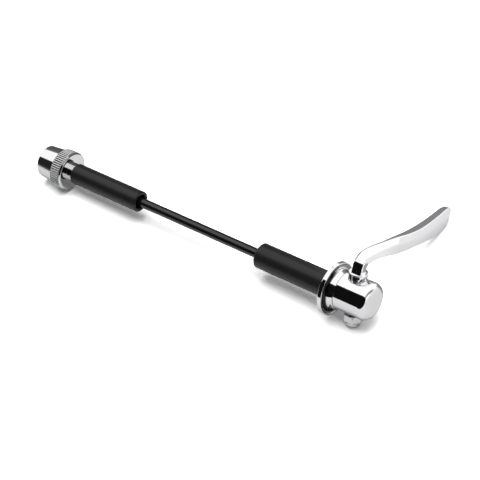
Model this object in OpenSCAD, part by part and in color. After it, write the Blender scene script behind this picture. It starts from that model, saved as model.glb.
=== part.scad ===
// Thru axle adapter: an internal cam skewer with two sleeves that fill 12 mm dropouts.
// The skewer lies along X with the cam end at +X; the inboard face of the flange cap is X = 0.
// The whole is rolled about X so that it rests on the end nut's rim, the lock nut and the lever's tip.

/* [Skewer] */
// Distance between the two frame faces that are clamped, mm
seat_gap = 154.6; // [130:0.1:170]
// Shank diameter of the rod, mm
rod_d = 4.6; // [4.4:0.1:5]
// Outside diameter of the rolled thread, mm
thread_d = 4.9; // [4.5:0.1:5]
// Length of the rolled thread, mm
thread_len = 30; // [15:1:40]
// Rod end set in from the outer face of the end nut, mm
rod_setback = 2.2; // [0:0.1:6]

/* [Sleeves] */
// Outside diameter of the cam sleeve, for a plain 12 mm hole, mm
cam_sleeve_d = 12; // [11.8:0.05:12]
// Outside diameter of the nut sleeve, for a 12 mm threaded hole, mm
nut_sleeve_d = 10.1; // [9.8:0.05:10.4]
// Length of each sleeve, mm
sleeve_len = 40.5; // [30:0.1:45]
// Bore of both sleeves, mm
sleeve_bore = 7; // [6:0.1:8]
// Bevel on the sleeve edges, mm
sleeve_bevel = 0.45; // [0.1:0.05:1]

/* [Flange cap] */
// Diameter of the disc, mm
disc_d = 25.1; // [22:0.1:28]
// Thickness of the disc at its rim, mm
disc_t = 2.1; // [2:0.1:4]
// Diameter of the groove where the flared neck leaves the disc, mm
flare_d = 21.2; // [18:0.1:22]
// Depth of that groove below the rim, mm
groove_depth = 0.5; // [0.1:0.1:1]
// Diameter of the neck where it meets the barrel, mm
neck_d = 17.5; // [16:0.1:19]
// Length of the flared neck from the rim to the barrel, mm
flare_len = 3.4; // [1.5:0.1:4]
// Length of the spigot in the cam sleeve, mm
spigot_len = 10; // [5:0.5:20]

/* [Cam housing] */
// Diameter of the barrel, mm
barrel_d = 17.8; // [16:0.1:20]
// Height of the barrel centre above the rod, mm
barrel_rise = 0.9; // [0:0.1:2]
// Outer end of the barrel from the flange cap's inboard face, mm
barrel_end = 22.1; // [20:0.1:26]
// Edge radius of the outer end, mm
barrel_round = 3.2; // [1:0.1:4]
// Diameter of the chamber for the rod head, mm
chamber_d = 12.6; // [12:0.1:13]
// Lever shaft from the flange cap's inboard face, mm
shaft_x = 12.1; // [11:0.1:14]

/* [Cam] */
// Throw of the eccentric from the shaft centre, mm
throw = 1.25; // [0.8:0.05:1.6]
// Diameter of the eccentric, mm
cam_d = 5.5; // [5:0.1:6]
// Diameter of the upper journal, mm
journal_d = 8; // [7.5:0.1:9]
// Diameter of the lower journal, mm
lower_d = 5; // [4.5:0.1:5.5]

/* [Lever] */
// Diameter of the collar, mm
collar_d = 8.8; // [8.5:0.1:10]
// Height of the collar's top above the rod, mm
collar_top = 13; // [12:0.1:14]
// Length of the lever from the shaft to the tip, mm
lever_reach = 76.1; // [60:0.1:82]
// Width of the lock nut across flats, mm
hex_af = 8; // [6:0.1:9]
// Height of the lock nut's hexagon, mm
hex_t = 3.4; // [2.5:0.1:4]
// Height of the round crown that holds its nylon ring, mm
crown_t = 1.7; // [1:0.1:2]

/* [End nut] */
// Diameter of the knurled band, mm
knurl_d = 19; // [17:0.1:21]
// Length of the knurled band, mm
knurl_len = 6.4; // [4:0.1:8]
// Length of the cone behind the band, mm
cone_len = 10; // [7:0.1:12]
// Diameter of the cone at the band, mm
cone_d1 = 17.2; // [15:0.1:19]
// Diameter of the cone at its small end, mm
cone_d2 = 15.4; // [12:0.1:17]
// Length of the shoulder boss between band and sleeve, mm
boss_len = 2.6; // [1:0.1:5]

/* [Pose] */
// Roll about the rod in the rest pose, degrees
rest_roll = 17.6; // [0:0.1:30]

/* [Hidden] */
$fn = 96;
fit = 0.05;
sleeve_x = -seat_gap + boss_len;
nut_end = -seat_gap - knurl_len - cone_len;
rod_x = nut_end + rod_setback;
cap_end = disc_t + flare_len;
lip_depth = 0.6;
lip_d = 14.8;
pad_z = -8.2;
seat_z = barrel_d / 2 + barrel_rise + 0.05;
boss_d = 6.4;
hex_top = pad_z - 0.05;
crown_top = hex_top - hex_t;
crown_end = crown_top - crown_t;
head_half = 5.6;
head_r = 6;
head_z = 3.2;
slack = 0.32;
chamber_end = shaft_x + head_half + throw + 0.3;

// Lays everything in its rest pose.
module rest() { rotate([-rest_roll, 0, 0]) children(); }

// A turned piece: outline given as [x along the rod, radius].
module turned(outline) {
    rotate([0, 90, 0]) rotate([0, 0, 90]) rotate_extrude()
        polygon([for (p = outline) [p[1], p[0]]]);
}

// A round bar along the rod from x0 to x1.
module bar(d, x0, x1) { translate([x0, 0, 0]) rotate([0, 90, 0]) cylinder(d = d, h = x1 - x0); }

// A round bar up the lever shaft from z0 to z1.
module post(d, z0, z1) { translate([shaft_x, 0, z0]) cylinder(d = d, h = z1 - z0); }

// Quarter arc of points about [cx, cr] with radius r from angle a0 to a1.
function arc(cx, cr, r, a0, a1, n = 8) =
    [for (i = [0:n]) let (a = a0 + (a1 - a0) * i / n) [cx + r * cos(a), cr + r * sin(a)]];

// Plain tube from x0, bevelled at both ends; the outer bevel at its far end is b1.
module sleeve(d, x0, b1) {
    b = sleeve_bevel;
    x1 = x0 + sleeve_len;
    r = sleeve_bore / 2;
    turned(concat([[x0, r + b], [x0, d / 2 - b], [x0 + b, d / 2], [x1 - b1, d / 2]],
        b1 > 0 ? [[x1, d / 2 - b1]] : [], [[x1, r + b], [x1 - b, r], [x0 + b, r]]));
}

module cam_sleeve() { color([0.045, 0.045, 0.05]) rest() sleeve(cam_sleeve_d, -sleeve_len, 0); }

module nut_sleeve() { color([0.045, 0.045, 0.05]) rest() sleeve(nut_sleeve_d, sleeve_x, sleeve_bevel); }

// The head is a flattened round with a slot that the eccentric pushes in and out.
module rod() {
    c = shaft_x + throw;
    color([0.04, 0.04, 0.045]) rest() {
        bar(rod_d, rod_x + thread_len, c - head_half + 0.5);
        turned([[rod_x, 0], [rod_x, thread_d / 2 - 0.5], [rod_x + 0.5, thread_d / 2],
                [rod_x + thread_len - 0.6, thread_d / 2], [rod_x + thread_len, rod_d / 2],
                [rod_x + thread_len + 0.5, rod_d / 2], [rod_x + thread_len + 0.5, 0]]);
        difference() {
            turned([[c - head_half, 0], [c - head_half, head_r - 1], [c - head_half + 1, head_r],
                    [c + head_half - 1, head_r], [c + head_half, head_r - 1], [c + head_half, 0]]);
            for (s = [-1, 1])
                translate([c - 20, -20, s > 0 ? head_z : -head_z - 20]) cube([40, 40, 20]);
            hull() for (s = [-1, 1])
                translate([c, s * (throw + 0.1), -10]) cylinder(r = cam_d / 2 + slack, h = 20, $fn = 48);
        }
    }
}

// Spigot in the sleeve, disc, groove, flared neck and seat for the barrel's lip, turned in one piece.
module flange_cap() {
    groove_x = disc_t - groove_depth;
    sweep_len = cap_end - 0.9 - groove_x;
    color([0.78, 0.78, 0.8]) rest() turned(concat(
        [[-spigot_len, rod_d / 2 + 0.3], [-spigot_len, sleeve_bore / 2 - 0.42],
         [-spigot_len + 0.4, sleeve_bore / 2 - 0.02], [0, sleeve_bore / 2 - 0.02],
         [0, disc_d / 2 - 0.4], [0.4, disc_d / 2]],
        arc(disc_t - 0.4, disc_d / 2 - 0.4, 0.4, 90, 0, 5),
        [[disc_t, disc_d / 2 - 0.6], [groove_x, disc_d / 2 - 1.1], [groove_x, flare_d / 2 + 0.2]],
        [for (i = [0:10]) let (a = i * 9)
            [groove_x + sweep_len * (1 - cos(a)), neck_d / 2 + (flare_d - neck_d) / 2 * (1 - sin(a))]],
        [[cap_end - 0.15, neck_d / 2], [cap_end, neck_d / 2 - 0.15], [cap_end, lip_d / 2],
         [cap_end - lip_depth, lip_d / 2], [cap_end - lip_depth, rod_d / 2 + 0.3]]));
}

// The barrel's centre is a little above the rod, so its section is the same all along.
module barrel_outline() {
    turned(concat([[cap_end + 0.02, 0], [cap_end + 0.02, neck_d / 2 - 0.3], [cap_end + 0.45, barrel_d / 2]],
        arc(barrel_end - barrel_round, barrel_d / 2 - barrel_round, barrel_round, 90, 0, 10),
        [[barrel_end, 0]]));
}

// Boss under the barrel: its end is the pad that the lock nut turns against.
module boss() {
    r = boss_d / 2;
    translate([shaft_x, 0, 0]) rotate_extrude()
        polygon([[0, 0], [r, 0], [r, pad_z + 0.15], [r - 0.15, pad_z], [0, pad_z]]);
}

module housing() {
    color([0.78, 0.78, 0.8]) rest() difference() {
        union() {
            translate([0, 0, barrel_rise]) barrel_outline();
            bar(lip_d - 2 * fit, cap_end - lip_depth + fit, cap_end + 1);
            boss();
        }
        bar(chamber_d, cap_end - 1, chamber_end);
        post(journal_d + 2 * fit, 0, 20);
        post(lower_d + 2 * fit, -20, 0);
    }
}

// Stations along the lever's stem and blade. Each row is a point of the centre line from the shaft (x, y, z),
// the section's corners across it (sideways, outwards) in the order back low, back top, crest, shoulder and
// front low, and the size of the corner rounding.
STATIONS = [
    [0.3, -0.2, 11, -2.2, -2.2, -2.4, 2.8, -2.1, 3.4, 2.9, 3.5, 2.7, -2.1, 0.6],
    [0.3, -0.2, 12.8, -2.2, -2.2, -2.4, 2.5, -2.1, 3.1, 2.8, 3.1, 2.7, -2.1, 0.6],
    [0.3, 0, 14.4, -2.4, -2.1, -2.5, 2.4, -2.1, 2.8, 2.5, 2.6, 2.5, -2.1, 0.6],
    [0.3, 0.8, 16.2, -2.6, -1.9, -2.7, 2.6, -2.1, 2.9, 2.4, 3.1, 2.5, -1.9, 0.6],
    [0.3, 2.8, 17.7, -2.7, -1.6, -2.8, 2.8, -2, 3.2, 2.4, 3, 2.6, -1.6, 0.6],
    [0.3, 6, 18.1, -2.7, -1.7, -2.8, 2.9, -1.7, 3.4, 2.3, 2.5, 2.6, -1.7, 0.6],
    [0.3, 11, 17.9, -2.6, -1.8, -2.7, 3, -1.3, 3.5, 2.2, 2, 2.6, -1.8, 0.5],
    [0.3, 18, 17.1, -2.3, -2.3, -2.4, 3.2, -0.8, 3.7, 2.2, 2, 2.5, -2.4, 0.5],
    [0.3, 27, 15.9, -2, -3.1, -2.1, 3.7, 0.2, 4.1, 2.3, 1.3, 2.3, -3.4, 0.5],
    [0.3, 36, 14.9, -1.9, -3.5, -1.9, 4, 1.4, 4, 2.3, 0.6, 2, -3.9, 0.5],
    [0.3, 44, 14.3, -1.9, -4, -1.8, 4.4, 2.1, 4.3, 2.2, 0.2, 1.7, -4.3, 0.5],
    [0.2, 52, 13.9, -2, -4.6, -1.8, 5, 2.1, 5, 2, 0, 1.4, -5, 0.5],
    [-0.2, 60, 13.7, -2.1, -5.2, -1.8, 5.5, 2, 5.6, 1.8, 0, 1.2, -5.6, 0.6],
    [-0.9, 67, 13.7, -2.1, -5.4, -1.7, 5.7, 1.9, 5.8, 1.65, 0, 1.1, -5.8, 0.7],
    [-1.3, 71, 13.8, -1.9, -5.2, -1.5, 5.3, 1.7, 5.3, 1.5, 0, 1, -5.6, 0.9],
    [-1.6, 73.4, 13.9, -1.6, -4.4, -1.3, 4.2, 1.4, 4.2, 1.3, 0, 0.8, -4.7, 0.9],
    [-1.8, 75.1, 13.9, -1.1, -3.2, -0.9, 2.8, 1, 2.8, 0.9, 0, 0.6, -3.4, 0.8],
    [-1.9, 75.9, 13.8, -0.6, -1.7, -0.5, 1.5, 0.6, 1.5, 0.5, 0, 0.4, -1.8, 0.5],
    [-1.9, 76.1, 13.8, -0.2, -0.6, -0.2, 0.6, 0.2, 0.6, 0.2, 0, 0.1, -0.6, 0.2]];
STATION_STEPS = 3;
CORNER_STEPS = 3;

// Row i + t of the stations, on a smooth curve through all of them.
function at(i) = STATIONS[max(0, min(len(STATIONS) - 1, i))];
function spline(i, t) = let (a = at(i - 1), b = at(i), c = at(i + 1), d = at(i + 2))
    0.5 * (2 * b + (c - a) * t + (2 * a - 5 * b + 4 * c - d) * t * t + (3 * b - a - 3 * c + d) * t * t * t);
SPANS = len(STATIONS) - 1;
ROWS = [for (i = [0:SPANS - 1], k = [0:STATION_STEPS - 1]) spline(i, k / STATION_STEPS), at(SPANS)];
LAST = len(ROWS) - 1;
function centre(r) = [r[0], r[1] * lever_reach / 76.1, r[2]];
function unit(v) = v / norm(v);
function heading(i) = unit(centre(ROWS[min(i + 1, LAST)]) - centre(ROWS[max(i - 1, 0)]));

// Corner q of a section, rounded: a quadratic curve that starts and ends k short of the corner.
function rounded(p, q, r, size) =
    let (k = min(size, 0.46 * norm(p - q), 0.46 * norm(r - q)))
    let (a = q + k * unit(p - q), b = q + k * unit(r - q))
    [for (i = [0:CORNER_STEPS]) let (t = i / CORNER_STEPS, s = 1 - t) s * s * a + 2 * t * s * q + t * t * b];
function section(r) = let (c = [for (i = [0:4]) [r[3 + 2 * i], r[4 + 2 * i]]])
    [for (i = [0:4]) each rounded(c[(i + 4) % 5], c[i], c[(i + 1) % 5], r[13])];
function ring(i) = let (t = heading(i), out = unit(cross([1, 0, 0], t)), side = cross(t, out))
    [for (p = section(ROWS[i])) centre(ROWS[i]) + p[0] * side + p[1] * out];

module blade() {
    m = 5 * (CORNER_STEPS + 1);
    polyhedron(points = [for (i = [0:LAST]) each ring(i)],
        faces = concat([[for (k = [0:m - 1]) k], [for (k = [m - 1:-1:0]) LAST * m + k]],
            [for (i = [0:LAST - 1], k = [0:m - 1]) let (j = (k + 1) % m) each
                [[i * m + k, (i + 1) * m + k, (i + 1) * m + j], [i * m + k, (i + 1) * m + j, i * m + j]]]),
        convexity = 6);
}

// One forging: M4 end, lower journal, eccentric, upper journal, collar and blade.
module lever() {
    r = collar_d / 2;
    color([0.78, 0.78, 0.8]) rest() {
        post(4, crown_end + 0.2, pad_z + 1);
        post(lower_d, hex_top, -3.6);
        translate([throw, 0, 0]) post(cam_d, -4.2, 4.2);
        post(journal_d, 3.6, seat_z + 0.5);
        translate([shaft_x, 0, 0]) rotate_extrude()
            polygon([[0, seat_z], [r - 0.4, seat_z], [r - 0.2, seat_z + 0.2], [r - 0.2, collar_top - 0.8],
                     [r, collar_top - 0.6], [r, collar_top - 0.2], [r - 0.2, collar_top], [0, collar_top]]);
        translate([shaft_x, 0, 0]) blade();
    }
}

// Hexagon with both ends chamfered, and a crown curled in over the nylon ring.
module lever_nut() {
    r = hex_af / 2;
    color([0.5, 0.5, 0.52]) rest() difference() {
        union() {
            intersection() {
                translate([shaft_x, 0, crown_top]) cylinder(d = hex_af / cos(30), h = hex_t, $fn = 6);
                translate([shaft_x, 0, 0]) rotate_extrude()
                    polygon([[0, crown_top], [r, crown_top], [r + 0.6, crown_top + 0.35],
                             [r + 0.6, hex_top - 0.35], [r, hex_top], [0, hex_top]]);
            }
            translate([shaft_x, 0, 0]) rotate_extrude()
                polygon([[0, crown_end], [3.05, crown_end], [3.3, crown_end + 0.1], [3.45, crown_end + 0.3],
                         [3.45, crown_top + 0.4], [0, crown_top + 0.4]]);
        }
        post(4.06, -20, 0);
        post(5.96, crown_end + 0.3, crown_top);
        post(5.4, -20, crown_top - 0.5);
    }
}

module lever_nut_ring() {
    color([0.85, 0.85, 0.8]) rest() translate([shaft_x, 0, 0]) rotate_extrude()
        polygon([[2.02, crown_end + 0.35], [2.95, crown_end + 0.35], [2.95, crown_top - 0.03],
                 [2.02, crown_top - 0.03]]);
}

// Cone, knurled band, shoulder boss and spigot, turned in one piece and tapped through.
module end_nut() {
    x1 = nut_end + cone_len;
    x2 = -seat_gap;
    r1 = cone_d1 / 2;
    r2 = cone_d2 / 2;
    rk = knurl_d / 2;
    rb = nut_sleeve_d / 2 - 0.5;
    color([0.78, 0.78, 0.8]) rest() turned(concat(
        [[nut_end, 3.7], [nut_end, r2 - 0.8]],
        arc(nut_end + 0.8, r2 - 0.8, 0.8, 180, 90, 5),
        [[x1 - 0.6, r1], [x1 - 0.1, r1 + 0.15], [x1, rk - 0.5], [x1 + 0.5, rk],
         [x2 - 0.8, rk], [x2, rk - 0.8], [x2, rb], [sleeve_x, rb], [sleeve_x, sleeve_bore / 2 - fit],
         [sleeve_x + 5.6, sleeve_bore / 2 - fit], [sleeve_x + 6, sleeve_bore / 2 - fit - 0.4],
         [sleeve_x + 6, thread_d / 2 + 0.05], [nut_end + 4, thread_d / 2 + 0.05], [nut_end + 4, 3.7]]));
}

module lock_insert() {
    color([0.85, 0.85, 0.8]) rest() turned([[nut_end + 0.6, thread_d / 2 + 0.02], [nut_end + 0.6, 3.4],
        [nut_end + 0.9, 3.68], [nut_end + 3.98, 3.68], [nut_end + 3.98, thread_d / 2 + 0.02]]);
}

cam_sleeve();
nut_sleeve();
rod();
flange_cap();
housing();
lever();
lever_nut();
lever_nut_ring();
end_nut();
lock_insert();
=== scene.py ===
# %% [markdown]
# # Thru axle adapter
# The part is a skewer: a black rod drawn tight between a chromed cam housing and a chromed cone nut, with
# a black sleeve at each end that fills a 12 mm hole. The solids come from the CAD model and keep their
# places and sizes. This file gives each one its finish, and draws again in finer form those whose bends,
# fillets, knurl or thread a plain solid leaves out. Lengths are in metres and the part lies at rest.

import math

import bmesh
import bpy
import numpy as np
from mathutils import Matrix


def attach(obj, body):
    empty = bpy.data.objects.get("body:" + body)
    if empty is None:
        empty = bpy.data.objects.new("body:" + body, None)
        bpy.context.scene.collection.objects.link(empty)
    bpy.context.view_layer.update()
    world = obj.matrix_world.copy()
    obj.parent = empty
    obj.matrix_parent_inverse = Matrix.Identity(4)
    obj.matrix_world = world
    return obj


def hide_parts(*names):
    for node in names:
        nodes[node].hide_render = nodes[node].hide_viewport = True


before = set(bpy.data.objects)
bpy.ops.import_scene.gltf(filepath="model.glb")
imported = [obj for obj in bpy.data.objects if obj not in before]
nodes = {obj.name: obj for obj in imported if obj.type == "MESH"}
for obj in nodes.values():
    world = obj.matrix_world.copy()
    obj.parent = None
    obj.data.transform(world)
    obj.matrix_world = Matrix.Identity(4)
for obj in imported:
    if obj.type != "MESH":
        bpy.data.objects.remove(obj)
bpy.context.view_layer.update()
scene = bpy.context.scene
MM = 0.001
ROLL = math.radians(17.6)
print("pieces from the CAD model:", sorted(nodes))

# %% [markdown]
# ## Two frames
# The piece is easiest to describe upright, in millimetres, with the skewer along X and the lever's shaft
# along Z. At rest it has rolled back about X until the lever's tip touches the table. Every mesh below is
# worked out upright and rolled as the last step, so that its object can stay at the origin, unturned.

# %% Roll into the rest pose
def at_rest(points):
    """Upright points in mm to the rest pose in metres: y' = y cos r + z sin r, z' = z cos r - y sin r."""
    p = np.asarray(points, float)
    c, s = math.cos(ROLL), math.sin(ROLL)
    return np.stack([p[..., 0], p[..., 1] * c + p[..., 2] * s, p[..., 2] * c - p[..., 1] * s], -1) * MM


print("the shaft's top points to", at_rest([0, 0, 1000]).round(3))

# %% [markdown]
# ## Camera
# The picture is taken from the cam end and from above with a long lens, so the far nut looks hardly
# smaller than the near housing. The camera's place and turn were fitted to the edges of the discs,
# sleeves and nut. The part leans back further at rest than it does there, so the camera leans with it.

# %% Camera
camera = bpy.data.objects.new("camera", bpy.data.cameras.new("camera"))
scene.collection.objects.link(camera)
axes = Matrix(((0.78598, 0.60903, -0.10641), (-0.34754, 0.57757, 0.73867), (0.51133, -0.54359, 0.66562)))
camera.matrix_world = Matrix.Translation((0.4351, -0.51774, 0.6379)) @ axes.transposed().to_4x4()
camera.data.sensor_width = 36
camera.data.lens = 157.5
camera.data.clip_end = 20
scene.camera = camera
scene.view_settings.view_transform = "Standard"
print("the camera stands", round(camera.matrix_world.translation.length, 3), "m from the disc")

# %% [markdown]
# ## Shader maths
# A finish is a small formula: how rough, how bumpy and how dark the surface is at each point. The two
# classes here let such a formula be written as Python. A Value wraps a socket, and each operator on it
# adds one Math node to the material.

# %% Shader helpers
class Value:
    """One output socket that can be added, multiplied and so on, as if it were a number."""

    def __init__(self, tree, socket):
        self.tree, self.socket = tree, socket

    def math(self, operation, *others):
        inputs = {i: v for i, v in enumerate((self, *others))}
        return self.tree.add("ShaderNodeMath", {"operation": operation}, inputs)

    def __add__(self, other): return self.math("ADD", other)
    def __sub__(self, other): return self.math("SUBTRACT", other)
    def __mul__(self, other): return self.math("MULTIPLY", other)
    def __rsub__(self, other): return self * -1 + other
    __radd__, __rmul__ = __add__, __mul__

    def ramp(self, start, end):
        """0 before start and 1 after end with a smooth step between; start may be the larger."""
        if start < end:
            return self.tree.add("ShaderNodeMapRange", {"interpolation_type": "SMOOTHSTEP"},
                                 {"Value": self, "From Min": start, "From Max": end})
        return 1 - self.ramp(end, start)


class Tree:
    """A node tree that is filled by method calls."""

    def __init__(self, owner):
        owner.use_nodes = True
        self.nodes, self.links = owner.node_tree.nodes, owner.node_tree.links
        self.nodes.clear()

    def add(self, kind, settings=None, inputs=None, output=0):
        """Adds a node of that kind: settings first, then each input gets its number, colour or link."""
        node = self.nodes.new(kind)
        for key, value in (settings or {}).items():
            setattr(node, key, value)
        for key, value in (inputs or {}).items():
            if isinstance(value, Value):
                self.links.new(value.socket, node.inputs[key])
            else:
                node.inputs[key].default_value = value
        return Value(self, node.outputs[output]) if len(node.outputs) else node

    def split(self, vector):
        """The three parts of a vector."""
        node = self.nodes.new("ShaderNodeSeparateXYZ")
        self.links.new(vector.socket, node.inputs[0])
        return [Value(self, out) for out in node.outputs]


print("shader helpers ready")

# %% [markdown]
# ## Table
# Three points carry the part at rest: the nut's rim, the lever nut and the lower edge of the lever's tip.
# The table is the plane through them, and its paper is a plain white. A photographer overexposes such paper,
# so the camera sees it brighter than it lights the part, and it keeps the dark part of the shadow. Polished
# metal mirrors it a little brighter too. Behind the lever's tip the paper carries painted light, and in front
# of the nut painted shade, both seen only in what the metal mirrors.

# %% Table
touch = at_rest([[-160.5, 3.1, -9.0], [11.9, 3.05, -13.35], [10.7, 72.2, 8.6]])
up = np.cross(touch[1] - touch[0], touch[2] - touch[0])
up /= np.linalg.norm(up)
cad_points = np.concatenate([np.array([v.co for v in n.data.vertices]) for n in nodes.values()])
level = (cad_points @ up).min()
along = np.cross([0, 1, 0], up)
along /= np.linalg.norm(along)
across = np.cross(up, along)
TABLE_HALF, TABLE_SHIFT = 1.5, -0.06
middle = up * level + along * TABLE_SHIFT
corners = [middle + (along * a + across * b) * TABLE_HALF for a, b in ((-1, -1), (1, -1), (1, 1), (-1, 1))]
table_mesh = bpy.data.meshes.new("table")
table_mesh.from_pydata(np.array(corners).tolist(), [], [(0, 1, 2, 3)])
table = bpy.data.objects.new("table", table_mesh)
scene.collection.objects.link(table)
PAPER, CAMERA_WHITE, GLOSS_LIFT, TIP_PAINTED_LIGHT, FRONT_PAINTED_SHADE = 0.86, 0.9, 0.07, 0.13, 0.84
DIM_ACROSS, DIM_FORWARD, TIP_BACK = (-0.05, -0.12), (-0.022, -0.085), (0.045, 0.07)
WHITE = (1, 1, 1, 1)


def ray_kinds(tree):
    """Three values, each 1 on its own kind of ray: from the camera, off gloss, and through glass."""
    kinds = ("Is Camera Ray", "Is Glossy Ray", "Is Transmission Ray")
    return [tree.add("ShaderNodeLightPath", output=kind) for kind in kinds]


white = bpy.data.materials.new("table_white")
tree = Tree(white)
from_camera, off_gloss, through_glass = ray_kinds(tree)
x, y, _ = tree.split(tree.add("ShaderNodeTexCoord", output="Object"))
# Painted shade: for glossy rays the paper in front of the nut is darkened.
dim = x.ramp(*DIM_ACROSS) * y.ramp(*DIM_FORWARD) * FRONT_PAINTED_SHADE
shade = from_camera * CAMERA_WHITE + PAPER - off_gloss * dim
color = tree.add("ShaderNodeCombineColor", None, {0: shade, 1: shade, 2: shade})
paper = tree.add("ShaderNodeBsdfDiffuse", None, {"Color": color})
# Painted light: behind the lever's tip a glow seen only in reflections lightens the tip's shadow there.
lift = (off_gloss + through_glass) * GLOSS_LIFT + off_gloss * y.ramp(*TIP_BACK) * TIP_PAINTED_LIGHT
glow = tree.add("ShaderNodeEmission", None, {"Color": WHITE, "Strength": lift})
surface = tree.add("ShaderNodeAddShader", None, {0: paper, 1: glow})
tree.add("ShaderNodeOutputMaterial", None, {"Surface": surface})
table_mesh.materials.append(white)
print("the table leans", round(math.degrees(math.acos(up[2])), 2), "degrees")
print("it passes", round(-level / MM, 1), "mm below the axis")

# %% [markdown]
# ## Room and lamp
# Polished metal shows its surroundings and little else, so the room matters as much as the finish. A
# white ceiling gives the bright areas, and the dark side of the room behind the camera gives the black
# bands that make chrome look like chrome. The room is written by angle about the skewer: 0 is level in
# front, 90 is straight up and 180 is level behind. The camera itself sees plain white in place of the room,
# so the backdrop is pale from every side. A large soft lamp overhead gives more than half of the light on
# the table, so the shadows lie right under the part and are darkest where it is near.

# %% Room and lamp
CEILING, AMBIENT, LAMP_POWER, LAMP_SPREAD = 1.32, 0.38, 2.0, 50
FRONT_DARK, EDGE_DARK = 0.985, 0.75
room = bpy.data.worlds.new("room")
scene.world = room
tree = Tree(room)
dx, dy, dz = tree.split(tree.add("ShaderNodeTexCoord", output="Generated"))
angle = dz.math("ARCTAN2", dy * -1) * (180 / math.pi)
front = angle.ramp(-12, -3) * angle.ramp(60, 54) * dx.ramp(0.985, 0.955)
right_edge = dx.ramp(0.66, 0.76) * dx.ramp(0.95, 0.88) * angle.ramp(60, 66) * dz.ramp(0.0, 0.1)
dark = (front * FRONT_DARK).math("MAXIMUM", right_edge * EDGE_DARK)
from_camera, off_gloss, through_glass = ray_kinds(tree)
mirrored = off_gloss + through_glass
indirect = 1 - from_camera - mirrored
strength = (1 - dark) * CEILING * (mirrored + indirect * AMBIENT) + from_camera
background = tree.add("ShaderNodeBackground", None, {"Color": WHITE, "Strength": strength})
tree.add("ShaderNodeOutputWorld", None, {"Surface": background})
lamp = bpy.data.objects.new("soft_lamp", bpy.data.lights.new("soft_lamp", "SUN"))
lamp.data.energy = LAMP_POWER
lamp.data.angle = math.radians(LAMP_SPREAD)
lamp.visible_glossy = False
scene.collection.objects.link(lamp)
print("room and lamp ready")

# %% [markdown]
# ## Cards
# A photographer stands cards beside a polished part so that its edges are drawn in black and grey. A
# black card stands in front of the housing. At the back a grey one draws the lever's upper edge, and a long,
# nearly black one the upper edges of the nut and sleeves. Two small ones behind the housing darken the
# barrel's rounded end and the rims beside it. Only glossy rays see them: they cast no shadow and take no
# light away.

# %% Cards
def card(name, lower, upper, tone, soft):
    """A flat card of that brightness between two corners (mm). It fades out over the soft mm at its top."""
    (x0, y0, z0), (x1, y1, z1) = lower, upper
    corners = np.array([(x0, y0, z0), (x1, y1, z0), (x1, y1, z1), (x0, y0, z1)]) * MM
    mesh = bpy.data.meshes.new(name)
    mesh.from_pydata(corners.tolist(), [], [(0, 1, 2, 3)])
    obj = bpy.data.objects.new(name, mesh)
    scene.collection.objects.link(obj)
    obj.visible_camera = obj.visible_diffuse = obj.visible_shadow = obj.visible_transmission = False
    mat = bpy.data.materials.new(name)
    tree = Tree(mat)
    height = tree.split(tree.add("ShaderNodeTexCoord", output="Object"))[2]
    clear = tree.add("ShaderNodeBsdfTransparent")
    glow = tree.add("ShaderNodeEmission", None, {"Color": WHITE, "Strength": tone})
    solid = height.ramp(z1 * MM, (z1 - soft) * MM)
    mix = tree.add("ShaderNodeMixShader", None, {0: solid, 1: clear, 2: glow})
    tree.add("ShaderNodeOutputMaterial", None, {"Surface": mix})
    mesh.materials.append(mat)
    return obj


cards = [card("front_card", (-108, -85, -40), (420, -85, 185), 0.006, 16),
         card("lever_back_card", (-300, 110, -50), (4, 110, 42), 0.3, 8),
         card("bend_card", (-40, 24, -12), (2, 24, 9), 0.15, 4),
         card("barrel_back_card", (12, 14, -5), (26, 14, 9), 0.38, 3),
         card("long_back_card", (-330, 45, -40), (-34, 45, 78), 0.14, 30)]
print("cards:", [c.name for c in cards])

# %% [markdown]
# ## Making surfaces
# Nearly everything here was turned on a lathe, so most pieces are a profile carried round the skewer. The
# profile is drawn with straight lines and round corners, as a turner would dimension it, and it is carried
# round as one array calculation. Rows of points close to each corner keep the flats flat when smoothed.

# %% Profiles and grids
def rounded(points, radius, steps=6, closed=True):
    """A polygon whose corners are quadratic curves: (1-t)^2 a + 2t(1-t) corner + t^2 b, set back by radius.
    radius is one number or one per corner. Two more points beside each corner hold the flats straight."""
    p = np.asarray(points, float)
    n = len(p)
    radii = np.broadcast_to(radius, n)
    out = []
    t = np.linspace(0, 1, steps)[:, None]
    for i in range(n):
        if not closed and i in (0, n - 1):
            out.append(p[i][None])
            continue
        before, after = p[i - 1] - p[i], p[(i + 1) % n] - p[i]
        lb, la = np.linalg.norm(before), np.linalg.norm(after)
        r = min(radii[i], 0.46 * lb, 0.46 * la)
        a, b = p[i] + before / lb * r, p[i] + after / la * r
        hold = min(0.5 * r, 0.04 * min(la, lb))
        curve = (1 - t) ** 2 * a + 2 * t * (1 - t) * p[i] + t ** 2 * b
        out += [(a + before / lb * hold)[None], curve, (b + after / la * hold)[None]]
    return np.concatenate(out)


def turned(profile, steps):
    """Rows of a turned surface: the point (x, r) at angle a becomes (x, r cos a, r sin a)."""
    a = np.linspace(0, 2 * np.pi, steps, endpoint=False)
    x, r = profile[:, :1], profile[:, 1:2]
    return np.stack([x + 0 * a, r * np.cos(a), r * np.sin(a)], -1)


def quads(rows, columns, wrap_rows=False, wrap_columns=True, first=0):
    """Corner numbers of every quad of a grid, worked out for all of them at once."""
    r = np.arange(rows if wrap_rows else rows - 1)[:, None]
    c = np.arange(columns if wrap_columns else columns - 1)[None]
    r1, c1 = (r + 1) % rows, (c + 1) % columns
    faces = np.stack([r * columns + c, r * columns + c1, r1 * columns + c1, r1 * columns + c], -1)
    return faces.reshape(-1, 4) + first


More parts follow.
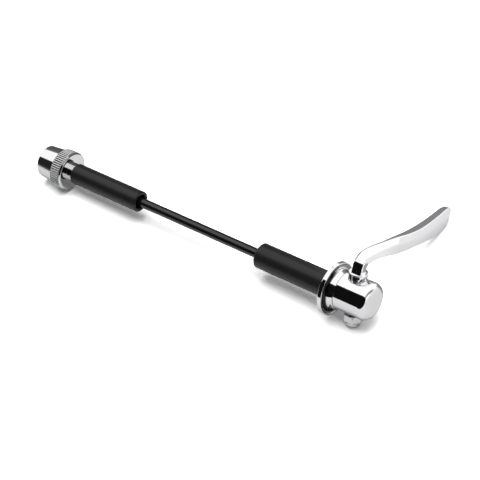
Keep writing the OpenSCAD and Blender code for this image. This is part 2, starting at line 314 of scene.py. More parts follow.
def piece(name, body, stands_for, grids, crease=None):
    """Joins grids into one mesh, welds their shared edges, turns the faces outwards and hangs it on its body.
    Each grid is (points [rows, columns, 3] upright in mm, wraps by row, wraps by column). Edges that bend by
    more than crease degrees stay sharp."""
    points, faces, first = [], [], 0
    for grid, wrap_rows, wrap_columns in grids:
        rows, columns = grid.shape[:2]
        points.append(grid.reshape(-1, 3))
        faces.append(quads(rows, columns, wrap_rows, wrap_columns, first))
        first += rows * columns
    points, faces = at_rest(np.concatenate(points)), np.concatenate(faces)
    mesh = bpy.data.meshes.new(name)
    mesh.vertices.add(len(points))
    mesh.vertices.foreach_set("co", points.ravel())
    mesh.loops.add(faces.size)
    mesh.loops.foreach_set("vertex_index", faces.ravel())
    mesh.polygons.add(len(faces))
    mesh.polygons.foreach_set("loop_start", np.arange(0, faces.size, 4))
    mesh.update(calc_edges=True)
    work = bmesh.new()
    work.from_mesh(mesh)
    bmesh.ops.remove_doubles(work, verts=work.verts, dist=2e-6)
    bmesh.ops.dissolve_degenerate(work, edges=work.edges, dist=1e-6)
    bmesh.ops.recalc_face_normals(work, faces=work.faces)
    open_edges = sum(1 for e in work.edges if len(e.link_faces) != 2)
    if crease:
        for edge in work.edges:
            edge.smooth = edge.calc_face_angle(0) < math.radians(crease)
    work.to_mesh(mesh)
    work.free()
    mesh.polygons.foreach_set("use_smooth", np.ones(len(mesh.polygons), bool))
    obj = bpy.data.objects.new(name, mesh)
    scene.collection.objects.link(obj)
    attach(obj, body)
    if stands_for:
        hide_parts(*stands_for)
    print(f"{name}: {len(mesh.polygons)} faces, {open_edges} open edges")
    return obj


# %% [markdown]
# ## Flange cap
# The disc that presses on the frame, with the neck that carries it and the spigot that centres the sleeve,
# is one turned piece. Its outer face is dished next to the rim and sweeps up into the neck. The dark ring
# seen there is partly the dish's reflections and partly painted shade in the chrome finish.

# %% Flange cap
DISC_R, DISC_T, GROOVE_X, GROOVE_R, NECK_R, CAP_END = 12.54, 2.1, 1.6, 10.6, 8.75, 5.5
SPIGOT_X, SPIGOT_R, ROD_BORE, LIP_R, LIP_DEPTH, RIM_IN, DISH_OUT = -10, 3.48, 2.6, 7.4, 0.6, 11.9, 11.45
t = np.linspace(0, 1, 19)[1:-1]
sweep = np.stack([GROOVE_X + (CAP_END - 0.9 - GROOVE_X) * (1 - np.cos(t * np.pi / 2)),
                  NECK_R + (GROOVE_R - NECK_R) * (1 - np.sin(t * np.pi / 2))], -1)
cap_profile = np.concatenate([
    rounded([[SPIGOT_X, ROD_BORE], [SPIGOT_X, SPIGOT_R], [0, SPIGOT_R], [0, DISC_R], [DISC_T, DISC_R],
             [DISC_T, RIM_IN], [GROOVE_X, DISH_OUT], [GROOVE_X, GROOVE_R]],
            [0.1, 0.4, 0.02, 0.35, 0.5, 0.2, 0.3, 0.1], closed=False),
    sweep,
    rounded([[CAP_END - 0.8, NECK_R], [CAP_END, NECK_R], [CAP_END, LIP_R], [CAP_END - LIP_DEPTH, LIP_R],
             [CAP_END - LIP_DEPTH, ROD_BORE]], [0.1, 0.18, 0.1, 0.1, 0.1], closed=False)])
cap_grid = turned(cap_profile, 192)
cap = piece("flange_disc", "housing", ["flange_cap"], [(cap_grid, True, True)])

# %% [markdown]
# ## Cam housing
# The housing is a barrel closed at its outer end, with a round chamber for the rod's head, and it is bored
# across for the lever's shaft, with a boss below round the lower bore. The grid of the barrel has a square
# window over each bore. The window is filled with rings that change from its square edge to the round
# bore or boss, and every point of those rings is put back on the barrel, so no seam shows in the polish.

# %% Barrel with its boss
BARREL_R, RISE, BARREL_X0, BARREL_X1, BARREL_ROUND, SHAFT_X = 8.9, 0.9, 5.52, 22.1, 3.2, 12.1
CHAMBER_R, CHAMBER_X1, MOUTH, OUTER_WINDOW, INNER_WINDOW = 6.3, 19.25, 0.45, 6.0, 5.0


def drum(radius, rise, x_from, x_to, half, columns):
    """A cylinder grid along X with a square window (half wide each way) at the top and bottom of SHAFT_X.
    Returns the strips of the grid that are left, and each window's edge as a closed loop of points."""
    w = math.asin(half / radius)
    k = columns // 8
    side_a = np.linspace(-np.pi / 2 + w, np.pi / 2 - w, 3 * k + 1)
    win_a = np.linspace(np.pi / 2 - w, np.pi / 2 + w, 2 * k + 1)
    angles = np.concatenate([side_a, win_a[1:], side_a[1:] + np.pi, win_a[1:] + np.pi])
    x_win = np.linspace(SHAFT_X - half, SHAFT_X + half, 2 * k + 1)

    def grid(x, a):
        x, a = np.meshgrid(x, a, indexing="ij")
        return np.stack([x, radius * np.cos(a), rise + radius * np.sin(a)], -1)

    strips = [(grid(np.linspace(x_from, x_win[0], 6), angles), False, True),
              (grid(np.linspace(x_win[-1], x_to, 6), angles), False, True),
              (grid(x_win, side_a), False, False), (grid(x_win, side_a + np.pi), False, False)]
    loops = []
    for turn in (0, np.pi):
        g = grid(x_win, win_a + turn)
        loops.append(np.concatenate([g[0, :-1], g[:-1, -1], g[-1, :0:-1], g[:0:-1, 0]]))
    return strips, loops, angles


def window_rings(loop, radius, rise, hole, count=9):
    """Rings from a window's edge to a circle of radius hole about the shaft. The plan position goes straight
    from one to the other. The height is rise +- sqrt(radius^2 - y^2), so each ring lies on the cylinder."""
    sign = 1 if loop[:, 2].mean() > rise else -1
    plan = loop[:, :2] - [SHAFT_X, 0]
    circle = hole * plan / np.linalg.norm(plan, axis=1, keepdims=True)
    t = np.linspace(0, 1, count)[:, None, None]
    p = plan * (1 - t) + circle * t
    z = rise + sign * np.sqrt(radius ** 2 - p[..., 1] ** 2)
    return np.concatenate([p + [SHAFT_X, 0], z[..., None]], -1)


def post_rings(loop, profile):
    """Rings about the shaft, one per (radius, height) of the profile, at the loop's own compass points."""
    plan = loop[:, :2] - [SHAFT_X, 0]
    unit = plan / np.linalg.norm(plan, axis=1, keepdims=True)
    p = np.asarray(profile, float)
    flat = unit[None] * p[:, :1, None] + [SHAFT_X, 0]
    height = np.broadcast_to(p[:, 1, None, None], (len(p), len(loop), 1))
    return np.concatenate([flat, height], -1)


nose_x = BARREL_X1 - BARREL_ROUND
outer, outer_loops, angles = drum(BARREL_R, RISE, BARREL_X0 + MOUTH, nose_x, OUTER_WINDOW, 128)
lip_x = CAP_END - LIP_DEPTH + 0.05
inner, inner_loops, inner_angles = drum(CHAMBER_R, 0.0, lip_x, CHAMBER_X1, INNER_WINDOW, 128)


def end_rows(profile, rise_from, rise_to, angles_from, angles_to):
    """Turned rows whose centre height and angles go from the first to the second ones along the profile."""
    k = np.linspace(0, 1, len(profile))[:, None]
    rise, a = rise_from * (1 - k) + rise_to * k, angles_from * (1 - k) + angles_to * k
    x, r = profile[:, :1], profile[:, 1:2]
    return np.stack([x + 0 * a, r * np.cos(a), rise + r * np.sin(a)], -1)


arc = np.linspace(0, np.pi / 2, 18)
nose = np.stack([nose_x + BARREL_ROUND * np.sin(arc), BARREL_R + BARREL_ROUND * (np.cos(arc) - 1)], -1)
face = np.stack([np.full(8, BARREL_X1), np.linspace(BARREL_R - BARREL_ROUND, 0, 8)], -1)
mouth = rounded([[BARREL_X0 + MOUTH, BARREL_R], [BARREL_X0 + 0.1, BARREL_R - 0.2],
                 [BARREL_X0, BARREL_R - 0.4]], 0.2, closed=False)
lip = rounded([[BARREL_X0, BARREL_R - 0.4], [BARREL_X0, LIP_R - 0.05], [lip_x, LIP_R - 0.05],
               [lip_x, CHAMBER_R]], 0.08, closed=False)
end_in = np.stack([np.full(8, CHAMBER_X1), np.linspace(CHAMBER_R, 0, 8)], -1)
SEAT_Z, PAD_Z, BOSS_R, UPPER_BORE, LOWER_BORE = 9.85, -8.2, 3.2, 4.05, 2.55


def bored(loop, in_loop, rise_hole, rim, bore):
    """The skin of one window: rings in to the rim's circle, the rim's own rings, the bore's inner end."""
    skin = window_rings(loop, BARREL_R, RISE, rise_hole)
    hole = window_rings(in_loop, CHAMBER_R, 0.0, bore)
    return [(np.concatenate([skin, rim, hole[-1:]]), False, True), (hole, False, True)]


edge = window_rings(outer_loops[0], BARREL_R, RISE, UPPER_BORE)[-1:] - [0, 0, 0.12]
boss_rim = post_rings(outer_loops[1], [
    (BOSS_R, PAD_Z + 0.15), (BOSS_R - 0.04, PAD_Z + 0.05), (BOSS_R - 0.15, PAD_Z),
    (LOWER_BORE + 0.1, PAD_Z), (LOWER_BORE, PAD_Z + 0.1)])
windows = (bored(outer_loops[0], inner_loops[0], UPPER_BORE + 0.12, edge, UPPER_BORE)
           + bored(outer_loops[1], inner_loops[1], BOSS_R, boss_rim, LOWER_BORE))
barrel = piece("cam_barrel", "housing", ["housing"], [
    *outer, *inner, *windows,
    (end_rows(np.concatenate([nose, face[1:]]), RISE, RISE, angles, angles), False, True),
    (end_rows(mouth, RISE, RISE, angles, angles), False, True),
    (end_rows(lip, RISE, 0, angles, inner_angles), False, True),
    (end_rows(end_in, 0, 0, inner_angles, inner_angles), False, True)])

# %% [markdown]
# ## Lever
# The lever is one forging: the eccentric shaft, the collar, a stem that bends through a right angle, and a
# blade that widens towards the tip. Its section has five corners. On the stem they make a block with a
# flat front. Along the blade the front face narrows to a thin upper edge while the outer faces run
# together into one broad face for the finger. Each station of the table gives the centre and the corners,
# and a smooth curve through the stations carries the section along.

# %% Lever stations
# centre x, y, z, then five corners as (sideways, outwards), and last the corners' size; the corners are
# back low, back top, crest, shoulder and front low
STATIONS = np.array([
    [0.3, -0.2, 11.0, -2.2, -2.2, -2.4, 2.8, -2.1, 3.4, 2.9, 3.5, 2.7, -2.1, 1.2],
    [0.3, -0.2, 12.8, -2.2, -2.2, -2.4, 2.5, -2.1, 3.1, 2.8, 3.1, 2.7, -2.1, 1.2],
    [0.3, 0.0, 14.4, -2.4, -2.1, -2.5, 2.4, -2.1, 2.8, 2.7, 2.6, 2.5, -2.1, 1.2],
    [0.3, 0.8, 16.2, -2.6, -1.9, -2.7, 2.6, -2.1, 2.9, 2.7, 3.0, 2.5, -1.9, 1.1],
    [0.3, 2.8, 17.7, -2.7, -1.6, -2.8, 2.8, -2.0, 3.15, 2.6, 2.8, 2.6, -1.6, 0.9],
    [0.3, 6.0, 18.1, -2.7, -1.7, -2.8, 2.9, -1.7, 3.4, 2.4, 2.3, 2.6, -1.7, 0.7],
    [0.3, 11.0, 17.9, -2.6, -1.8, -2.7, 3.0, -1.3, 3.5, 2.2, 2.0, 2.6, -1.8, 0.5],
    [0.3, 18.0, 17.1, -2.3, -2.3, -2.4, 3.2, -0.8, 3.7, 2.2, 2.0, 2.5, -2.4, 0.5],
    [0.3, 27.0, 15.9, -2.0, -3.1, -2.1, 3.7, 0.2, 4.1, 2.3, 1.3, 2.3, -3.4, 0.5],
    [0.3, 36.0, 14.9, -1.9, -3.5, -1.9, 4.0, 1.4, 4.0, 2.3, 0.6, 2.0, -3.9, 0.5],
    [0.3, 44.0, 14.3, -1.9, -4.0, -1.8, 4.4, 2.1, 4.3, 2.2, 0.2, 1.7, -4.3, 0.5],
    [0.2, 52.0, 13.9, -2.0, -4.6, -1.8, 5.0, 2.1, 5.0, 2.0, 0.0, 1.4, -5.0, 0.5],
    [-0.2, 60.0, 13.7, -2.1, -5.2, -1.8, 5.5, 2.0, 5.6, 1.8, 0.0, 1.2, -5.6, 0.6],
    [-0.9, 67.0, 13.7, -2.1, -5.4, -1.7, 5.7, 1.9, 5.8, 1.65, 0.0, 1.1, -5.8, 0.7],
    [-1.3, 71.0, 13.8, -1.9, -5.2, -1.5, 5.3, 1.7, 5.3, 1.5, 0.0, 1.0, -5.6, 0.9],
    [-1.6, 73.35, 13.9, -1.6, -4.4, -1.3, 4.2, 1.4, 4.2, 1.3, 0.0, 0.8, -4.7, 0.9],
    [-1.8, 75.05, 13.9, -1.1, -3.2, -0.9, 2.8, 1.0, 2.8, 0.9, 0.0, 0.6, -3.4, 0.8],
    [-1.9, 75.8, 13.8, -0.6, -1.7, -0.5, 1.5, 0.6, 1.5, 0.5, 0.0, 0.4, -1.8, 0.5],
    [-1.9, 76.0, 13.8, -0.2, -0.6, -0.2, 0.6, 0.2, 0.6, 0.2, 0.0, 0.1, -0.6, 0.2]])


def smooth_rows(table, steps):
    """Catmull-Rom curve through the rows: half of (2b + (c-a)t + (2a-5b+4c-d)t^2 + (3b-a-3c+d)t^3)."""
    before, after = table[[0, *range(len(table) - 2)]], table[[*range(2, len(table)), -1]]
    t = np.linspace(0, 1, steps, endpoint=False)[None, :, None]
    a, b, c, d = (q[:, None] for q in (before, table[:-1], table[1:], after))
    squares, cubes = 2 * a - 5 * b + 4 * c - d, 3 * b - a - 3 * c + d
    rows = 0.5 * (2 * b + (c - a) * t + squares * t ** 2 + cubes * t ** 3)
    return np.concatenate([rows.reshape(-1, table.shape[1]), table[-1:]])


def blade_rings(stations, steps):
    """One ring of points per smoothed station, in the plane across the path.
    Sideways is the part of X at right angles to the path, and outwards is path x sideways, turned up."""
    rows = smooth_rows(stations, steps)
    path = np.gradient(rows[:, :3], axis=0)
    path /= np.linalg.norm(path, axis=1, keepdims=True)
    out = np.cross([1.0, 0, 0], path)
    out /= np.linalg.norm(out, axis=1, keepdims=True)
    sideways = np.cross(path, out)
    rings = []
    for row, s, o in zip(rows, sideways, out):
        section = rounded(row[3:13].reshape(5, 2), row[13])
        rings.append(row[:3] + section[:, :1] * s + section[:, 1:] * o)
    rings = np.array(rings)
    ends = [np.repeat(r.mean(0)[None, None], rings.shape[1], 1) for r in (rings[0], rings[-1])]
    return np.concatenate([ends[0], rings, ends[1]]) + [SHAFT_X, 0, 0]


# %% Lever
def about_shaft(profile, off=0.0):
    """A surface turned about the shaft: (r, z) at angle a becomes (shaft + off + r cos a, r sin a, z)."""
    a = np.linspace(0, 2 * np.pi, 96, endpoint=False)
    r, z = profile[:, :1], profile[:, 1:2]
    return np.stack([SHAFT_X + off + r * np.cos(a), r * np.sin(a), z + 0 * a], -1)


COLLAR_R, COLLAR_TOP, HEX_TOP, NUT_END, THROW = 4.4, 13.0, -8.25, -13.35, 1.25
UPPER_R, UPPER_END, LOWER_R, LOWER_END, M4_SHAFT_R = 4.0, 3.6, 2.5, -3.6, 2.0
CAM_R, CAM_TOP, CAM_LOW = 2.75, 3.9, -4.2
collar = rounded([[0, UPPER_END], [UPPER_R, UPPER_END], [UPPER_R, SEAT_Z], [COLLAR_R - 0.2, SEAT_Z],
                  [COLLAR_R - 0.2, COLLAR_TOP - 0.75], [COLLAR_R, COLLAR_TOP - 0.65],
                  [COLLAR_R, COLLAR_TOP], [0, COLLAR_TOP]],
                 [0.1, 0.3, 0.02, 0.25, 0.08, 0.12, 0.3, 0.1], closed=False)
eccentric = rounded([[0, CAM_LOW], [CAM_R, CAM_LOW], [CAM_R, CAM_TOP], [0, CAM_TOP]],
                    [0.1, 0.2, 0.1, 0.1], closed=False)
journal = rounded([[0, NUT_END + 0.2], [M4_SHAFT_R, NUT_END + 0.2], [M4_SHAFT_R, HEX_TOP], [LOWER_R, HEX_TOP],
                   [LOWER_R, LOWER_END], [0, LOWER_END]], [0.1, 0.35, 0.02, 0.1, 0.1, 0.1], closed=False)
lever = piece("cam_lever", "lever", ["lever"], [
    (about_shaft(collar), False, True), (about_shaft(eccentric, off=THROW), False, True),
    (about_shaft(journal), False, True), (blade_rings(STATIONS, 12), False, True)])

# %% [markdown]
# ## Lock nut
# A nylon ring nut holds the lever's shaft in the housing. Its hexagon is chamfered at both ends by a
# lathe, which cuts curved lines where the chamfer meets the flats, and its round crown is curled in over
# the nylon ring. The hexagon's radius at angle a is the distance to the nearest flat, r / cos(a mod 60).

# %% Lock nut
HEX_R, CORNER_R, CROWN_R, CROWN_TOP, M4_R, RING_R, LIP_IN = 4.0, 4.55, 3.45, -11.65, 2.03, 2.98, 2.7
a = np.linspace(0, 2 * np.pi, 144, endpoint=False)
flat_r = np.minimum(HEX_R / np.cos(a % (np.pi / 3) - np.pi / 6), CORNER_R)


def lock_row(radius, z):
    """One row about the shaft; radius is a number or one per column."""
    r = radius + 0 * a
    return np.stack([SHAFT_X + r * np.cos(a), r * np.sin(a), 0 * a + z], -1)


chamfer = np.linspace(0, 1, 8)
top_cut = [lock_row(np.minimum(flat_r, HEX_R + 0.6 * k), HEX_TOP - 0.35 * k) for k in chamfer]
low_cut = [lock_row(np.minimum(flat_r, HEX_R + 0.6 * k), CROWN_TOP + 0.35 * k) for k in chamfer[::-1]]
crown = rounded([[HEX_R - 0.05, CROWN_TOP], [CROWN_R, CROWN_TOP - 0.05], [CROWN_R, NUT_END + 0.3],
                 [3.05, NUT_END], [LIP_IN, NUT_END], [LIP_IN, NUT_END + 0.3], [RING_R, NUT_END + 0.3],
                 [RING_R, CROWN_TOP], [M4_R, CROWN_TOP]],
                [0.1, 0.03, 0.2, 0.2, 0.12, 0.05, 0.05, 0.05, 0.1], closed=False)
crown_rows = [lock_row(r, z) for r, z in crown[1:]]
thread_mouth = [lock_row(M4_R, HEX_TOP - 0.1), lock_row(M4_R + 0.1, HEX_TOP)]
lock_grid = np.array([*thread_mouth, *top_cut, *low_cut, *crown_rows])
lock_nut = piece("lock_nut", "lever", ["lever_nut"], [(lock_grid, True, True)], crease=30)

# %% [markdown]
# ## End nut
# The nut is turned from bar: a cone that sits in a trainer's cup, a raised band for the fingers, a polished
# face that bears on the frame and a boss. The band has a straight knurl, pressed in by a toothed wheel
# that rolls along it. In numbers it is one wave round the band, with straight flanks, a narrow flat on each
# crest and a sharp valley, and it fades out at both edges where the wheel's corners are rounded.

# %% End nut with straight knurl
SEAT_X, KNURL_R, KNURL_N, KNURL_DEPTH, KNURL_SLOPE = -154.6, 9.5, 54, 0.42, 1.6
BAND_W, KNURL_W, KNURL_FADE = 6.4, 5.45, 0.4
band_x0, band_x1 = SEAT_X - BAND_W, SEAT_X
NUT_X0, SLEEVE_X, PLUG_LEN = -171.0, -152.0, 6
TAP_R, CUP_R, CUP_DEPTH, CONE_R, CONE_BASE_R, NUT_BOSS_R, PLUG_R = 2.5, 3.7, 4, 7.7, 8.6, 4.55, 3.45


def knurl(a):
    """Height from 0 in a valley to 1 on a crest: straight flanks, cut off to a narrow flat at the crest."""
    turns = a * KNURL_N / (2 * np.pi)
    return np.minimum(np.abs(2 * (turns - np.floor(turns)) - 1) * KNURL_SLOPE, 1)


columns = KNURL_N * 8
low = rounded([[NUT_X0 + CUP_DEPTH, TAP_R], [NUT_X0 + CUP_DEPTH, CUP_R], [NUT_X0, CUP_R], [NUT_X0, CONE_R],
               [band_x0 - 0.3, CONE_BASE_R], [band_x0, 8.75], [band_x0 + 0.1, KNURL_R - 0.5]],
              [0.05, 0.1, 0.25, 0.8, 0.2, 0.15, 0.1], closed=False)
high = rounded([[band_x1 - 0.75, KNURL_R - 0.1], [band_x1 - 0.65, KNURL_R - 0.05], [band_x1, KNURL_R - 0.75],
                [band_x1, NUT_BOSS_R], [SLEEVE_X, NUT_BOSS_R], [SLEEVE_X, PLUG_R],
                [SLEEVE_X + PLUG_LEN, PLUG_R], [SLEEVE_X + PLUG_LEN, TAP_R]],
               [0.1, 0.2, 0.25, 0.12, 0.15, 0.02, 0.4, 0.05], closed=False)
x = band_x0 + 0.15 + KNURL_W * (1 - np.cos(np.linspace(0, np.pi, 25))) / 2
a = np.linspace(0, 2 * np.pi, columns, endpoint=False)
edge = np.clip(np.minimum(x - x[0], x[-1] - x) / KNURL_FADE, 0, 1)[:, None]
r = KNURL_R - KNURL_DEPTH * (1 - knurl(a)[None]) * edge - 0.15 * (1 - edge)
band = np.stack([np.broadcast_to(x[:, None], r.shape), r * np.cos(a), r * np.sin(a)], -1)
rows = np.concatenate([turned(low, columns), band, turned(high, columns)])
end_nut = piece("cone_nut", "end_nut", ["end_nut"], [(rows, True, True)])

# %% [markdown]
# ## Rod
# The rod is cold drawn and its thread is rolled, so the crests stand a little above the shank. The thread
# is a profile carried along a helix: at each angle the same wave starts a little further along. The head
# inside the housing is a round flattened above and below, with a slot that the eccentric pushes to and fro.

# %% Rod with its thread and slotted head
ROD_X0, THREAD_LEN, SHANK_R, CREST_R, ROOT_R, PITCH = -168.8, 30.0, 2.3, 2.45, 2.02, 0.8
HEAD_X, HEAD_HALF, HEAD_R, HEAD_Z, SLOT_R, SLOT_HALF = SHAFT_X + THROW, 5.6, 6.0, 3.2, 3.07, 1.35
CREST_FLAT, FLANK = 0.12, 0.72


def thread(x, a):
    """Radius of the thread at x and angle a: 60 degree flanks between a flat crest and a rounder root. Its
    depth fades to the shank over the last two turns, and the end is chamfered."""
    turns = x / PITCH - a / (2 * np.pi)
    v = np.abs(2 * (turns - np.floor(turns)) - 1)
    depth = np.clip((v - CREST_FLAT) / FLANK, 0, 1)
    fade = np.clip((THREAD_LEN - x) / (2 * PITCH), 0, 1)
    crest = SHANK_R + (CREST_R - SHANK_R) * fade
    r = crest - (CREST_R - ROOT_R) * depth * fade
    return np.minimum(r, CREST_R - 0.5 + np.maximum(x, 0))


a = np.linspace(0, 2 * np.pi, 40, endpoint=False)
shank_end = HEAD_X - HEAD_HALF + 0.5 - ROD_X0
x = np.concatenate([[0, 0], np.linspace(0, THREAD_LEN, 451), [60, 100, 140, shank_end, shank_end]])[:, None]
r = thread(x, a[None])
r[0] = r[-1] = 0
r[1] = r[2]
shank = np.stack([np.broadcast_to(x + ROD_X0, r.shape), r * np.cos(a), r * np.sin(a)], -1)

side = np.linspace(-HEAD_HALF, HEAD_HALF, 41)
ends = np.linspace(1, -1, 13)[1:-1]


def head_outline(z):
    """The head's outline at height z, in plan: y = +-sqrt(R^2 - z^2), where R is chamfered at both ends."""
    radius = np.minimum(HEAD_R, HEAD_R - 1 + HEAD_HALF - np.abs(side))
    y = np.sqrt(radius ** 2 - z ** 2)
    plan = np.concatenate([
        np.stack([side, y], -1), np.stack([0 * ends + HEAD_HALF, ends * y[-1]], -1),
        np.stack([side[::-1], -y[::-1]], -1), np.stack([0 * ends - HEAD_HALF, -ends * y[0]], -1)])
    return np.concatenate([plan, np.full((len(plan), 1), z)], -1)


def slot_outline(z, like):
    """The slot's outline at height z, where a ray to each of like's points leaves its rounded rectangle."""
    d = like[:, :2] / np.linalg.norm(like[:, :2], axis=1, keepdims=True)
    straight = SLOT_R / np.maximum(np.abs(d[:, 0]), 1e-9)
    dy = np.abs(d[:, 1])
    arc_r = SLOT_HALF * dy + np.sqrt(np.maximum(SLOT_R ** 2 - (SLOT_HALF * d[:, 0]) ** 2, 0))
    reach = np.where(straight * dy <= SLOT_HALF, straight, arc_r)
    return np.concatenate([d * reach[:, None], np.full((len(d), 1), z)], -1)


layers = [head_outline(z) for z in np.linspace(HEAD_Z, -HEAD_Z, 17)]
slot = [slot_outline(z, layers[0]) for z in (-HEAD_Z, 0, HEAD_Z)]
head = np.array([*layers, *slot]) + [HEAD_X, 0, 0]
rod = piece("slotted_rod", "rod", ["rod"], [(shank, False, True), (head, True, True)])

# %% [markdown]
# ## Finishes
# Each finish starts from how the surface was made. Lathe work leaves rings, drawing leaves lines along the
# bar, plating over them softens both, and a forging stays faintly uneven under its plate. The patterns use
# the piece's own coordinates in millimetres, with the distance from the axis as a fourth one. A finish
# darkens some edges through Specular Tint, which colours what metal mirrors at a grazing angle.

# %% Finish helpers
COOL = 1.01


class Finish(Tree):
    """A Principled finish with coordinates x, y, z and r in mm, where r is the distance from the axis."""

    def __init__(self, name):
        self.material = bpy.data.materials.new(name)
        super().__init__(self.material)
        place = self.split(self.add("ShaderNodeTexCoord", output="Object"))
        self.x, self.y, self.z = (q * (1 / MM) for q in place)
        self.r = (self.y * self.y + self.z * self.z).math("SQRT")

    def along_shaft(self):
        """Height along the lever's shaft, y' sin r + z' cos r, which undoes the roll into the rest pose."""
        return self.y * math.sin(ROLL) + self.z * math.cos(ROLL)

    def between(self, value, start, end, soft):
        """1 between start and end, with a smooth step of soft mm outside each."""
        return value.ramp(start - soft, start) * value.ramp(end + soft, end)

    def noise(self, x, y, z, detail=2.0):
        """Smooth noise between 0 and 1 at the given place."""
        place = self.add("ShaderNodeCombineXYZ", None, {0: x, 1: y, 2: z})
        return self.add("ShaderNodeTexNoise", None, {"Vector": place, "Scale": 1.0, "Detail": detail})

    def build(self, color, metallic, rough, height, more=None):
        """Height is in mm. A color may be a grey Value, which gets a touch of blue, or three numbers."""
        if isinstance(color, Value):
            color = self.add("ShaderNodeCombineColor", None, {0: color, 1: color, 2: color * COOL})
        else:
            color = (*color, 1)
        normal = self.add("ShaderNodeBump", None, {"Height": height, "Distance": MM, "Strength": 1.0})
        inputs = {"Base Color": color, "Metallic": metallic, "Roughness": rough, "Normal": normal}
        surface = self.add("ShaderNodeBsdfPrincipled", None, {**inputs, **(more or {})})
        self.add("ShaderNodeOutputMaterial", None, {"Surface": surface})
        return self.material


def dress(obj, mat):
    obj.data.materials.clear()
    obj.data.materials.append(mat)


# %% [markdown]
# ## Chrome
# Decorative chrome is polished steel under a thin bright plate. Polishing by hand leaves the surface very
# slightly wavy, which bends the edges of the reflections. The photo shows a few dark lines that reflections
# alone leave out: the ring and foot of the dish by the disc's rim, the valleys of the knurl, the groove
# under the lever's collar and the crest where the lever bends. There the plate's tone carries painted shade.
# The whole cone nut carries a slight painted shade too, and the stem is painted a little lighter than the
# blade.

# %% Chrome of the housing, disc and nut
f = Finish("chrome_plate")
wavy = f.noise(f.x * 0.22, f.y * 0.3, f.z * 0.3) * 0.012 + f.noise(f.x * 1.1, f.y * 1.3, f.z * 1.3) * 0.0012
CHROME, DISH_PAINTED_SHADE, FOOT_PAINTED_SHADE, VALLEY_PAINTED_SHADE, NUT_PAINTED_SHADE = 0.765, 0.45, 0.74, 0.42, 0.055
# Painted shade: the ring of the dish by the disc's rim is darkened in the plate's tone.
dish = f.x.ramp(1.45, 1.55) * f.x.ramp(2.12, 2.05) * f.r.ramp(10.2, 10.5) * f.r.ramp(12.3, 12.1)
# Painted shade: the foot of the dish is darkened on its front side.
foot = f.x.ramp(1.45, 1.6) * f.x.ramp(3.0, 2.4) * f.r.ramp(10.75, 10.45) * f.y.ramp(4.0, -2.0)
band = f.x.ramp(SEAT_X - 6.45, SEAT_X - 6.3) * f.x.ramp(SEAT_X - 0.55, SEAT_X - 0.7) * f.r.ramp(8.8, 9.0)
# Painted shade: the knurl's valleys are darkened in the plate's tone.
valley = band * f.r.ramp(KNURL_R - 0.03, KNURL_R - 0.2)
# Painted shade: the whole cone nut, out to its boss, is a shade darker than the housing's chrome.
nut_shade_mask = f.x.ramp(-150, -152)
tone = CHROME - dish * DISH_PAINTED_SHADE - foot * FOOT_PAINTED_SHADE - valley * VALLEY_PAINTED_SHADE - nut_shade_mask * NUT_PAINTED_SHADE
rough = 0.045 + f.noise(f.x * 0.6, f.y * 0.6, f.z * 0.6) * 0.03 + dish * 0.14 + band * 0.06
chrome = f.build(tone, 1.0, rough, wavy, {"Specular Tint": (0.6, 0.6, 0.61, 1)})

# %% Chrome of the lever
f = Finish("lever_plate")
uneven = f.noise(f.x * 0.35, f.y * 0.16, f.z * 0.35) * 0.02 + f.noise(f.x * 1.4, f.y * 0.9, f.z * 1.4) * 0.002
rough = 0.07 + f.noise(f.x * 0.5, f.y * 0.25, f.z * 0.5) * 0.05
LEVER, CLOUDS, STEM_PAINTED_LIGHT, CREST_PAINTED_SHADE, GROOVE_PAINTED_SHADE = 0.76, 0.03, 0.13, 0.66, 0.6
bend = f.y.ramp(3.5, 5.0) * f.y.ramp(20.0, 11.0) * f.z.ramp(13.4, 14.2)
# Painted shade: a dark line along the crest where the lever bends.
crest = bend * f.x.ramp(9.9, 10.15) * f.x.ramp(10.85, 10.4)
# Painted shade: the groove under the collar is darkened in the plate's tone.
groove = f.x.ramp(14.4, 13.2) * f.between(f.along_shaft(), 10.0, 12.2, 0.2) * f.y.ramp(12, 9)
# Painted light: the stem's tone is a little lighter than the blade's.
stem = f.y.ramp(34, 16)
clouds = f.noise(f.x * 0.2, f.y * 0.1, f.z * 0.2)
tone = LEVER + clouds * CLOUDS + stem * STEM_PAINTED_LIGHT - crest * CREST_PAINTED_SHADE - groove * GROOVE_PAINTED_SHADE
lever_chrome = f.build(tone, 1.0, rough, uneven, {"Specular Tint": (0.78, 0.78, 0.79, 1)})

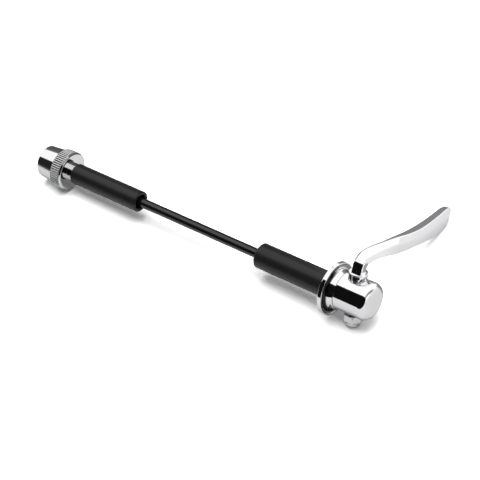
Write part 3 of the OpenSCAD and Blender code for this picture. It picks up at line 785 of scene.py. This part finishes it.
# %% [markdown]
# ## Black sleeves, rod, nut and insert
# The sleeves are turned aluminium, anodised black: fine rings show in their low sheen. The rod is drawn
# steel blackened in a hot bath, which leaves lines along it and a deeper gloss. The small nut is plain
# nickel over a cut hexagon, with painted shade in the seam below it, and the rings in both nuts are nylon
# as moulded.

# %% Sleeves, rod, nickel and nylon
f = Finish("black_anodised")
rings = f.noise(f.x * 9.0, f.r * 2.0, 0.0, 3.0)
speck = f.noise(f.x * 3.0, f.y * 3.0, f.z * 3.0)
tone, rough = 0.011 + speck * 0.004, 0.3 + rings * 0.1
sleeve_black = f.build(tone, 0.0, rough, rings * 0.0025, {"Specular IOR Level": 0.31})

f = Finish("blackened_steel")
lines = f.noise(f.x * 0.08, f.y * 7.0, f.z * 7.0, 3.0)
tone, rough = 0.004 + lines * 0.003, 0.1 + lines * 0.08
rod_black = f.build(tone, 0.0, rough, lines * 0.0012, {"Specular IOR Level": 0.6})

f = Finish("dull_nickel")
grain = f.noise(f.x * 5.0, f.y * 5.0, f.z * 5.0, 3.0)
height = f.along_shaft()
# Painted shade: the seam between the hexagon and the crown is darkened.
seam_painted_shade = height.ramp(CROWN_TOP - 0.3, CROWN_TOP - 0.1) * height.ramp(CROWN_TOP + 0.42, CROWN_TOP + 0.25)
tone, rough = 0.56 + grain * 0.1 - seam_painted_shade * 0.46, 0.14 + grain * 0.1
nickel = f.build(tone, 1.0, rough, grain * 0.003, {"Specular Tint": (0.35, 0.35, 0.35, 1)})

f = Finish("natural_nylon")
grain = f.noise(f.x * 4.0, f.y * 4.0, f.z * 4.0)
nylon = f.build((0.72, 0.71, 0.64), 0.0, 0.42 + grain * 0.15, grain * 0.006)

for obj in (cap, barrel, end_nut):
    dress(obj, chrome)
dress(lever, lever_chrome)
dress(rod, rod_black)
for n in ("cam_sleeve", "nut_sleeve"):
    dress(nodes[n], sleeve_black)
dress(lock_nut, nickel)
for n in ("lock_insert", "lever_nut_ring"):
    dress(nodes[n], nylon)
print("finishes:", [m.name for m in bpy.data.materials if m.users])
